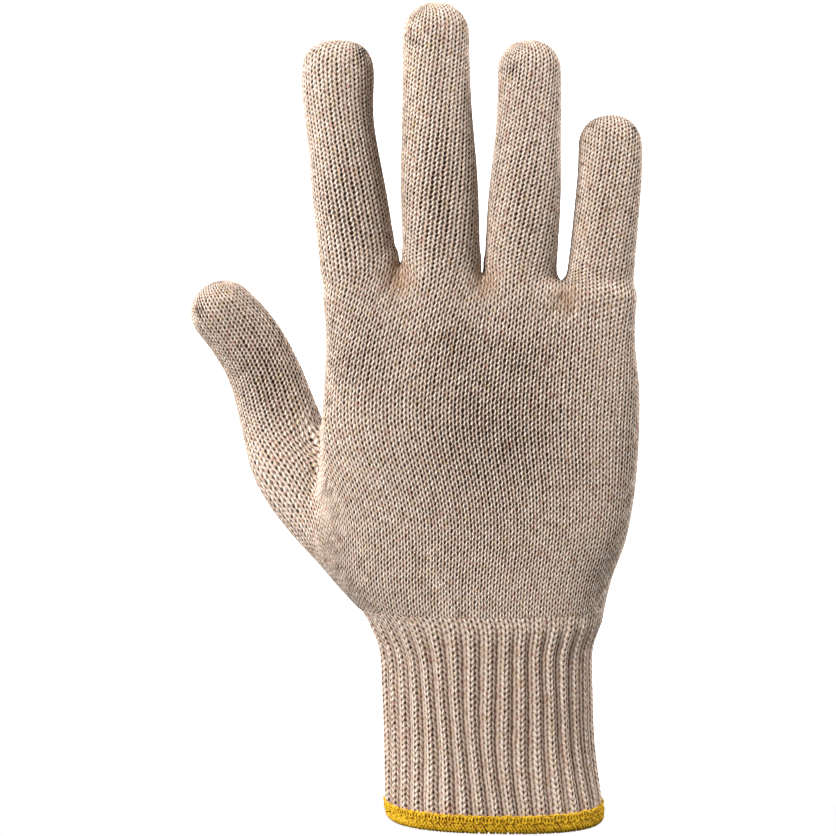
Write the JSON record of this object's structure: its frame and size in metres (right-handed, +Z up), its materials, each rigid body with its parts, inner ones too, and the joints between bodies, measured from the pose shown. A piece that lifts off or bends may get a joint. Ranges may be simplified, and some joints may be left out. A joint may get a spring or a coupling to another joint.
{
  "type": "cotton work glove",
  "caption": "Knitted cotton work glove as worn, with separate fingers, a ribbed cuff and a yellow overlocked hem.",
  "frame": {"origin": "middle of the cuff's mouth, in the plane of the hem's lower edge", "axes": "+Z up the fingers, -Y out of the back of the hand, +Y out of its palm, -X to the thumb"},
  "size_m": [0.1344, 0.0494, 0.242],
  "materials": {
    "cotton_jersey": "unbleached cotton yarn, plain knit",
    "cotton_rib": "unbleached cotton yarn, rib knit",
    "overlock_thread": "yellow polyester overlock thread"
  },
  "bodies": {
    "root": {"palm": "cotton_jersey", "thumb": "cotton_jersey", "index_finger": "cotton_jersey", "middle_finger": "cotton_jersey", "ring_finger": "cotton_jersey", "little_finger": "cotton_jersey", "rib_cuff": "cotton_rib", "overlock_hem": "overlock_thread"}
  },
  "joints": []
}
